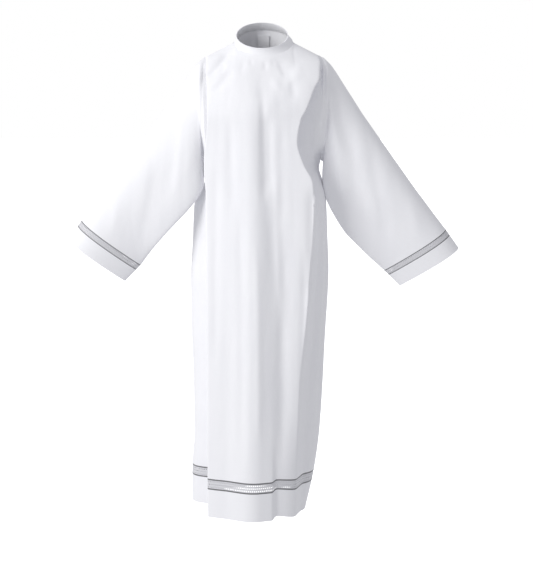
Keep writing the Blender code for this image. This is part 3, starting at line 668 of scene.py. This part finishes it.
def spline(points, at):
    i = min(int(at), len(points) - 2)
    t = at - i
    before = points[max(i - 1, 0)]
    a, b = points[i], points[i + 1]
    after = points[min(i + 2, len(points) - 1)]
    out, into = (b - before) / 2, (after - a) / 2
    return (
        a * (2 * t ** 3 - 3 * t ** 2 + 1) + out * (t ** 3 - 2 * t ** 2 + t)
        + b * (3 * t ** 2 - 2 * t ** 3) + into * (t ** 3 - t ** 2)
    )


def sleeve_rows(left, places):
    front = LEFT_FRONT_SEAM if left else RIGHT_FRONT_SEAM
    back = LEFT_BACK_SEAM if left else RIGHT_BACK_SEAM
    sleeve = SLEEVE_LEFT if left else SLEEVE_RIGHT
    rings = [ring_points(sleeve, front, back, i) for i in range(len(sleeve) + 1)]
    columns = list(zip(*rings))
    rows = [[spline(column, place) for column in columns] for place in places]
    return [row[::-1] for row in rows] if left else rows


def grid_normals(rows, tube):
    """Outward normals of the points of a grid whose rows run downwards."""
    normals = []
    last = len(rows) - 1
    width = len(rows[0])
    for r, row in enumerate(rows):
        above, below = rows[max(r - 1, 0)], rows[min(r + 1, last)]
        found = []
        for c in range(width):
            if tube:
                before, after = row[c - 1], row[(c + 1) % width]
            else:
                before, after = row[max(c - 1, 0)], row[min(c + 1, width - 1)]
            found.append((below[c] - above[c]).cross(after - before).normalized())
        normals.append(found)
    return normals


def crease_depth(creases, a, z):
    total = 0.0
    for crease in creases:
        t = (z - crease.top_z) / (crease.low_z - crease.top_z)
        if not 0 < t < 1:
            continue
        length = math.hypot(crease.top_z - crease.low_z, crease.top_a - crease.low_a)
        strength = ease(t * length / crease.fade) * ease((1 - t) * length / crease.fade)
        line = mix(crease.top_a, crease.low_a, t) + crease.bow * math.sin(math.pi * t)
        upright = (crease.top_z - crease.low_z) / length
        away = (a - line) * upright
        away /= crease.left if away < 0 else crease.right
        if abs(away) < 3:
            total += crease.depth * strength * math.exp(-away * away)
    return total


RIPPLE = 0.0006         # height of the cloth's unevenness
RIPPLE_WIDTH = 0.035
RIPPLE_LENGTH = 0.160
FINE_RIPPLE = 2.3       # a finer ripple on it, this many times as close and half as high
TURNED_AWAY = 0.15      # cloth that faces a side less than this takes none of its creases
TURN_RANGE = 0.4        # and it takes them in full when it faces it by this much more
FIRM_ROWS = 4           # rows and columns beside a seam over which the creases die out
FIRM_COLUMNS = 3


def facing(amount):
    return ease((amount - TURNED_AWAY) / TURN_RANGE)


def pressed(rows, front=(), back=(), right=(), left=(), tube=False):
    """Rows with creases pressed in and with the slight unevenness of worn cloth."""
    normals = grid_normals(rows, tube)
    last = len(rows) - 1
    made = []
    for r, (row, found) in enumerate(zip(rows, normals)):
        width = len(row)
        new = []
        for c, (point, normal) in enumerate(zip(row, found)):
            depth = 0.0
            for creases, across, amount in (
                (front, point.x, -normal.y),
                (back, point.x, normal.y),
                (right, point.y, -normal.x),
                (left, point.y, normal.x),
            ):
                if amount > TURNED_AWAY:
                    depth += crease_depth(creases, across, point.z) * facing(amount)
            place = Vector((
                point.x / RIPPLE_WIDTH,
                point.y / RIPPLE_WIDTH,
                point.z / RIPPLE_LENGTH,
            ))
            depth += RIPPLE * (noise.noise(place) + 0.5 * noise.noise(place * FINE_RIPPLE))
            firm = ease(min(r, last - r) / FIRM_ROWS)
            if not tube:
                firm *= ease(min(c, width - 1 - c) / FIRM_COLUMNS)
            new.append(point - normal * depth * firm)
        made.append(new)
    return made


def eased_rows(rows, times, tube=False):
    """Rows with their corners rounded a little, as cloth turns; the outer edges stay."""
    for _ in range(times):
        made = []
        for row in rows:
            width = len(row)
            new = []
            for c, point in enumerate(row):
                if not tube and c in (0, width - 1):
                    new.append(point)
                    continue
                new.append((row[c - 1] + row[(c + 1) % width]) / 4 + point / 2)
            made.append(new)
        rows = made
    return rows


def link(piece):
    bpy.context.scene.collection.objects.link(piece)
    return piece


def apply_modifiers(piece):
    bpy.ops.object.select_all(action="DESELECT")
    bpy.context.view_layer.objects.active = piece
    piece.select_set(True)
    for modifier in list(piece.modifiers):
        bpy.ops.object.modifier_apply(modifier=modifier.name)
    piece.select_set(False)


def lengths_along(row):
    """How far along a row each of its points lies."""
    total = [0.0]
    for a, b in zip(row, row[1:]):
        total.append(total[-1] + (b - a).length)
    return total


def flat_mesh(name, points, faces, corners):
    mesh = bpy.data.meshes.new(name)
    mesh.from_pydata(points, [], faces)
    uv = mesh.uv_layers.new(name="cloth")
    for loop, corner in zip(uv.data, corners):
        loop.uv = corner
    return mesh


def cloth(name, rows, thickness, finish, tube=False):
    """A wall of cloth whose outer face goes through the rows, with a UV map in metres."""
    width = len(rows[0])
    columns = width if tube else width - 1
    points = [point for row in rows for point in row]
    faces = []
    corners = []
    middle = width // 2
    down = [0.0]
    for a, b in zip(rows, rows[1:]):
        down.append(down[-1] + (b[middle] - a[middle]).length)
    across = []
    for row in rows:
        total = lengths_along(row)
        total.append(total[-1] + (row[0] - row[-1]).length)
        half = total[middle]
        across.append([value - half for value in total])
    for r in range(len(rows) - 1):
        for c in range(columns):
            d = (c + 1) % width
            faces.append((r * width + c, (r + 1) * width + c, (r + 1) * width + d, r * width + d))
            corners += [
                (across[r][c], -down[r]),
                (across[r + 1][c], -down[r + 1]),
                (across[r + 1][c + 1], -down[r + 1]),
                (across[r][c + 1], -down[r]),
            ]
    mesh = flat_mesh(name, points, faces, corners)
    mesh.materials.append(finish)
    piece = link(bpy.data.objects.new(name, mesh))
    wall = piece.modifiers.new("Wall", "SOLIDIFY")
    wall.thickness = thickness
    wall.offset = -1
    apply_modifiers(piece)
    piece.data.shade_smooth()
    piece.data.set_sharp_from_angle(angle=SHARP_ANGLE)
    return piece


# Finishes.
def new_finish(name):
    finish = bpy.data.materials.new(name)
    finish.use_nodes = True
    tree = finish.node_tree
    shader = tree.nodes["Principled BSDF"]
    return finish, tree, shader


def add_node(tree, kind, **inputs):
    made = tree.nodes.new(kind)
    for key, value in inputs.items():
        made.inputs[key.replace("_", " ")].default_value = value
    return made


def place_on_cloth(tree, scale):
    uv = tree.nodes.new("ShaderNodeUVMap")
    uv.uv_map = "cloth"
    place = tree.nodes.new("ShaderNodeMapping")
    place.inputs["Scale"].default_value = scale
    tree.links.new(uv.outputs["UV"], place.inputs["Vector"])
    return place.outputs["Vector"]


def noise_on_cloth(tree, scale, detail=2.0):
    made = add_node(tree, "ShaderNodeTexNoise", Scale=1.0, Detail=detail)
    tree.links.new(place_on_cloth(tree, scale), made.inputs["Vector"])
    return made.outputs["Fac"]


def threads(tree, pitch, direction):
    wave = add_node(tree, "ShaderNodeTexWave", Scale=1.0, Distortion=0.0)
    wave.wave_type = "BANDS"
    wave.bands_direction = direction
    full = math.tau / (20 * pitch)
    tree.links.new(place_on_cloth(tree, (full, full, full)), wave.inputs["Vector"])
    return wave.outputs["Fac"]


def combine(tree, operation, first, second):
    made = tree.nodes.new("ShaderNodeMath")
    made.operation = operation
    for socket, value in zip(made.inputs, (first, second)):
        if isinstance(value, (int, float)):
            socket.default_value = value
        else:
            tree.links.new(value, socket)
    return made.outputs["Value"]


def colour_between(tree, factor, low, high, dark, light):
    ramp = tree.nodes.new("ShaderNodeValToRGB")
    ramp.color_ramp.elements[0].position = low
    ramp.color_ramp.elements[0].color = dark
    ramp.color_ramp.elements[1].position = high
    ramp.color_ramp.elements[1].color = light
    tree.links.new(factor, ramp.inputs["Fac"])
    return ramp.outputs["Color"]


def make_white_cotton():
    finish, tree, shader = new_finish("white cotton blend")
    link = tree.links.new
    warp_slub = noise_on_cloth(tree, (900.0, 14.0, 1.0), 1.0)
    weft_slub = noise_on_cloth(tree, (14.0, 900.0, 1.0), 1.0)
    cloudy = noise_on_cloth(tree, (9.0, 5.0, 1.0), 3.0)
    slubs = combine(tree, "ADD", warp_slub, weft_slub)
    tone = combine(tree, "ADD", combine(tree, "MULTIPLY", slubs, 0.35), cloudy)
    link(
        colour_between(tree, tone, 0.45, 1.25, (0.855, 0.858, 0.893, 1), (0.895, 0.897, 0.925, 1)),
        shader.inputs["Base Color"],
    )
    warp = threads(tree, 0.0006, "X")
    weft = threads(tree, 0.0006, "Y")
    weave = combine(tree, "MAXIMUM", warp, weft)
    thick = combine(tree, "ADD", weave, combine(tree, "MULTIPLY", slubs, 1.2))
    bump = add_node(tree, "ShaderNodeBump", Strength=0.35, Distance=0.00006)
    link(thick, bump.inputs["Height"])
    link(bump.outputs["Normal"], shader.inputs["Normal"])
    rough = colour_between(tree, cloudy, 0.3, 0.7, (0.80, 0.80, 0.80, 1), (0.90, 0.90, 0.90, 1))
    link(rough, shader.inputs["Roughness"])
    shader.inputs["Sheen Weight"].default_value = 0.12
    shader.inputs["Sheen Roughness"].default_value = 0.5
    shader.inputs["Specular IOR Level"].default_value = 0.25
    return finish


def make_openwork(name, dark, light, roughness):
    finish, tree, shader = new_finish(name)
    link = tree.links.new
    twist = noise_on_cloth(tree, (1500.0, 1500.0, 1.0), 2.0)
    link(colour_between(tree, twist, 0.3, 0.7, dark, light), shader.inputs["Base Color"])
    bump = add_node(tree, "ShaderNodeBump", Strength=0.5, Distance=0.0002)
    link(twist, bump.inputs["Height"])
    link(bump.outputs["Normal"], shader.inputs["Normal"])
    shader.inputs["Roughness"].default_value = roughness
    shader.inputs["Sheen Weight"].default_value = 0.1
    return finish


def make_floor_finish():
    finish, tree, shader = new_finish("pale floor")
    coordinates = tree.nodes.new("ShaderNodeTexCoord")
    grain = add_node(tree, "ShaderNodeTexNoise", Scale=3.0, Detail=2.0)
    tree.links.new(coordinates.outputs["Object"], grain.inputs["Vector"])
    tree.links.new(
        colour_between(
            tree, grain.outputs["Fac"], 0.3, 0.7, (0.93, 0.93, 0.93, 1), (0.95, 0.95, 0.95, 1)
        ),
        shader.inputs["Base Color"],
    )
    shader.inputs["Roughness"].default_value = 1.0
    shader.inputs["Specular IOR Level"].default_value = 0.0
    shader.inputs["Emission Color"].default_value = (1, 1, 1, 1)
    shader.inputs["Emission Strength"].default_value = FLOOR_GLOW
    return finish


# Pieces.
def declare(piece, node):
    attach(piece, "root")
    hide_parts(node)


def body_depths():
    """How far down each row of the body's cloth lies, closest together at the neck."""
    low = -BAND_TOP_Z
    count = round(low / ROW_SPACING)
    return [mix(0.0, low, (i / count) ** ROW_CROWDING) for i in range(count + 1)]


def make_body(finish):
    depths = body_depths()
    rows = eased_rows([front_row(depth) for depth in depths], CORNER_EASING)
    rows = pressed(rows, front=FRONT_CREASES, right=RIGHT_SIDE_CREASES, left=LEFT_SIDE_CREASES)
    piece = cloth("front_cloth", rows, CLOTH, finish)
    declare(piece, "front")
    for name, left in (("left", True), ("right", False)):
        rows = eased_rows([back_half_row(depth, left) for depth in depths], CORNER_EASING)
        rows = pressed(rows, back=BACK_CREASES, right=RIGHT_SIDE_CREASES, left=LEFT_SIDE_CREASES)
        piece = cloth("back_cloth_" + name, rows, CLOTH, finish)
        declare(piece, "back_" + name)


COLLAR_GAP = 0.003      # from the centre back to each end of the collar, in radians
COLLAR_HOLLOW = 0.12    # how far the collar's height curves in, as a share of its radius
PLACKET_TOP = 0.016     # depths of its ends below the neck
PLACKET_END = 0.360
PLACKET_HALF_WIDTH = 0.017
PLACKET_BEHIND = 0.0051 # how far inside the back's outer face it lies


def make_collar(finish):
    start, end = math.pi / 2 + COLLAR_GAP, math.pi * 5 / 2 - COLLAR_GAP
    columns, levels = 200, 12
    angles = [mix(start, end, i / columns) for i in range(columns + 1)]
    rows = []
    for i in range(levels + 1):
        rise = 1 - i / levels
        row = []
        for angle in angles:
            base = neck_point(angle)
            hollow = Vector((base.x, base.y, 0.0)) * COLLAR_HOLLOW * rise * (1 - rise)
            row.append(mix(base, rim_point(angle), rise) - hollow)
        rows.append(row)
    piece = cloth("stand_collar", rows, COLLAR_CLOTH, finish)
    declare(piece, "collar")


def make_placket(finish):
    rows = []
    count, columns = 60, 8
    offsets = [
        mix(PLACKET_HALF_WIDTH, -PLACKET_HALF_WIDTH, j / columns) for j in range(columns + 1)
    ]
    for i in range(count + 1):
        depth = mix(PLACKET_TOP, PLACKET_END, i / count)
        seam = panel_point(0.5, depth, False) - Vector((0.0, PLACKET_BEHIND, 0.0))
        rows.append([seam + Vector((offset, 0.0, 0.0)) for offset in offsets])
    piece = cloth("placket_cloth", rows, CLOTH, finish)
    declare(piece, "back_placket")


def even_steps(start, end, count):
    return [mix(start, end, i / count) for i in range(count + 1)]


def make_sleeves(finish):
    for name, left in (("left", True), ("right", False)):
        rows = sleeve_rows(left, even_steps(0, BAND_RING, SLEEVE_ROW_COUNT))
        rows = pressed(rows, front=SLEEVE_FRONT_CREASES, back=SLEEVE_BACK_CREASES, tube=True)
        piece = cloth("sleeve_cloth_" + name, rows, CLOTH, finish, tube=True)
        declare(piece, "sleeve_" + name)
        rows = sleeve_rows(left, even_steps(BORDER_RING, CUFF_RING, CUFF_ROW_COUNT))
        piece = cloth("cuff_" + name, rows, HEM_CLOTH, finish, tube=True)
        declare(piece, "cuff_border_" + name)


def make_hems(finish):
    depths = even_steps(-BAND_LOW_Z, -HEM_Z, HEM_ROW_COUNT)
    for name, row_at in (("front", front_row), ("back", back_row)):
        rows = eased_rows([row_at(depth) for depth in depths], CORNER_EASING)
        piece = cloth("hem_" + name, rows, HEM_CLOTH, finish)
        declare(piece, "hem_border_" + name)


# Openwork: a tape of tied threads between two cords.
CELL = 0.0060
CORD_SHARE = 0.13
HOLE_ROWS = 3
HOLE_SIDE = 0.50        # how far in from its cell a hole's side corners are, in half cells
HOLE_END = 0.78         # the same for the corners of its ends
HOLE_EDGE = 0.30        # how far in its ends are, of the cell's height
HEM_TAPE = 0.027        # width of the tape at the hem, and at the cuffs


def even_row(row, closed, count):
    """Points evenly spread along a row."""
    line = list(row) + ([row[0]] if closed else [])
    total = lengths_along(line)
    points = []
    at = 0
    for i in range(count if closed else count + 1):
        goal = total[-1] * i / count
        while at < len(line) - 2 and total[at + 1] < goal:
            at += 1
        t = (goal - total[at]) / (total[at + 1] - total[at])
        points.append(mix(line[at], line[at + 1], t))
    return points


def make_openwork_band(name, node, rows, closed, mesh_finish, cord_finish):
    length = lengths_along(list(rows[0]) + ([rows[0][0]] if closed else []))[-1]
    count = 2 * round(length / CELL)
    top = even_row(rows[0], closed, count)
    low = even_row(rows[-1], closed, count)
    width = len(top)

    def place(c, t):
        if closed:
            return mix(top[c % width], low[c % width], t)
        c = min(max(c, 0), width - 1)
        return mix(top[c], low[c], t)

    def between(c, t):
        whole = math.floor(c)
        return mix(place(whole, t), place(whole + 1, t), c - whole)

    points, faces, corners, kinds = [], [], [], []

    def add_face(uvs, kind):
        start = len(points)
        for c, t in uvs:
            points.append(between(c, t))
            corners.append((c * CELL / 2, -t * HEM_TAPE))
        faces.append(tuple(range(start, start + len(uvs))))
        kinds.append(kind)

    inner_top, inner_low = CORD_SHARE, 1 - CORD_SHARE
    height = (inner_low - inner_top) / HOLE_ROWS
    for c in range(count):
        for t0, t1 in ((0.0, inner_top), (inner_low, 1.0)):
            add_face([(c, t0), (c, t1), (c + 1, t1), (c + 1, t0)], 1)
    for r in range(HOLE_ROWS):
        t0 = inner_top + r * height
        t1 = t0 + height
        tm = (t0 + t1) / 2
        shift = r % 2
        for k in range(-1 if shift and not closed else 0, count // 2):
            left = 2 * k + shift
            right = left + 2
            mid = left + 1
            if not closed and (left < 0 or right > count):
                edge = max(left, 0), min(right, count)
                add_face([(edge[0], t0), (edge[0], t1), (edge[1], t1), (edge[1], t0)], 0)
                continue
            hole = [
                (left + HOLE_SIDE, tm), (left + HOLE_END, t1 - height * HOLE_EDGE),
                (right - HOLE_END, t1 - height * HOLE_EDGE), (right - HOLE_SIDE, tm),
                (right - HOLE_END, t0 + height * HOLE_EDGE),
                (left + HOLE_END, t0 + height * HOLE_EDGE),
            ]
            outer = [
                (left, tm), (left, t1), (right, t1), (right, tm), (right, t0), (left, t0),
            ]
            for i in range(6):
                j = (i + 1) % 6
                if i in (1, 4):
                    middle = (mid, t1 if i == 1 else t0)
                    add_face([outer[i], middle, hole[i]], 0)
                    add_face([middle, outer[j], hole[j], hole[i]], 0)
                else:
                    add_face([outer[i], outer[j], hole[j], hole[i]], 0)
    mesh = flat_mesh(name, points, faces, corners)
    mesh.materials.append(mesh_finish)
    mesh.materials.append(cord_finish)
    for polygon, kind in zip(mesh.polygons, kinds):
        polygon.material_index = kind
    piece = link(bpy.data.objects.new(name, mesh))
    weld = piece.modifiers.new("Weld", "WELD")
    weld.merge_threshold = 0.00005
    wall = piece.modifiers.new("Wall", "SOLIDIFY")
    wall.thickness = BAND_CLOTH
    wall.offset = -1
    wall.use_even_offset = False
    apply_modifiers(piece)
    declare(piece, node)


def make_openwork_bands(mesh_finish, cord_finish):
    depths = (-BAND_TOP_Z, -BAND_LOW_Z)
    for name, row_at in (("front", front_row), ("back", back_row)):
        rows = eased_rows([row_at(depth) for depth in depths], CORNER_EASING)
        make_openwork_band(
            "hem_openwork_" + name, "hem_band_" + name, rows, False,
            mesh_finish, cord_finish,
        )
    for name, left in (("left", True), ("right", False)):
        rows = sleeve_rows(left, (BAND_RING, BORDER_RING))
        make_openwork_band(
            "cuff_openwork_" + name, "cuff_band_" + name, rows, True,
            mesh_finish, cord_finish,
        )


# Surroundings.
FLOOR_Z = -1.585
FLOOR_GLOW = 1.0
WORLD_LIGHT = 0.60
SKY_COLOUR = (0.965, 0.968, 1.0, 1)
KEY_PLACE = (-3.4, -2.6, 1.4)
KEY_AIM = (0.0, 0.0, -0.55)
KEY_SIZE = 2.0
KEY_POWER = 128
KEY_COLOUR = (1.0, 0.995, 0.98)
CAMERA_PLACE = (0.009, -4.05, -0.1075)
CAMERA_TURN = math.radians(81)  # 9 degrees down from level
CAMERA_LENS = 82.935154         # in millimetres, on a sensor 36 mm wide


def make_floor():
    bpy.ops.object.select_all(action="DESELECT")
    bpy.ops.mesh.primitive_plane_add(size=60, location=(0, 0, 0))
    floor = bpy.context.active_object
    floor.name = "floor"
    bpy.ops.object.mode_set(mode="EDIT")
    bpy.ops.transform.translate(value=(0, 0, FLOOR_Z))
    bpy.ops.object.mode_set(mode="OBJECT")
    floor.data.materials.append(make_floor_finish())
    floor.visible_diffuse = False


def make_world():
    scene = bpy.context.scene
    world = bpy.data.worlds.new("studio")
    scene.world = world
    world.use_nodes = True
    tree = world.node_tree
    tree.nodes.clear()
    seen = add_node(tree, "ShaderNodeBackground", Color=(1, 1, 1, 1), Strength=1.0)
    light = add_node(tree, "ShaderNodeBackground", Color=SKY_COLOUR, Strength=WORLD_LIGHT)
    path = tree.nodes.new("ShaderNodeLightPath")
    choose = tree.nodes.new("ShaderNodeMixShader")
    out = tree.nodes.new("ShaderNodeOutputWorld")
    tree.links.new(path.outputs["Is Camera Ray"], choose.inputs["Fac"])
    tree.links.new(light.outputs["Background"], choose.inputs[1])
    tree.links.new(seen.outputs["Background"], choose.inputs[2])
    tree.links.new(choose.outputs["Shader"], out.inputs["Surface"])


def add_soft_light(name, place, aim, size, power, colour):
    data = bpy.data.lights.new(name, "AREA")
    data.shape = "SQUARE"
    data.size = size
    data.energy = power
    data.color = colour
    lamp = link(bpy.data.objects.new(name, data))
    lamp.location = place
    direction = Vector(aim) - Vector(place)
    lamp.rotation_mode = "QUATERNION"
    lamp.rotation_quaternion = direction.to_track_quat("-Z", "Y")


def make_camera():
    data = bpy.data.cameras.new("camera")
    data.sensor_width = 36.0
    data.lens = CAMERA_LENS
    data.clip_end = 100.0
    camera = link(bpy.data.objects.new("camera", data))
    camera.location = CAMERA_PLACE
    camera.rotation_euler = (CAMERA_TURN, 0, 0)
    bpy.context.scene.camera = camera


bpy.context.scene.view_settings.view_transform = "Standard"
white_cotton = make_white_cotton()
grey_threads = make_openwork("grey openwork", (0.56, 0.56, 0.59, 1), (0.76, 0.76, 0.79, 1), 0.7)
dark_cord = make_openwork("dark grey cord", (0.09, 0.09, 0.10, 1), (0.16, 0.16, 0.17, 1), 0.6)
make_camera()
make_world()
make_floor()
add_soft_light("key", KEY_PLACE, KEY_AIM, KEY_SIZE, KEY_POWER, KEY_COLOUR)
make_body(white_cotton)
make_collar(white_cotton)
make_placket(white_cotton)
make_sleeves(white_cotton)
make_hems(white_cotton)
make_openwork_bands(grey_threads, dark_cord)
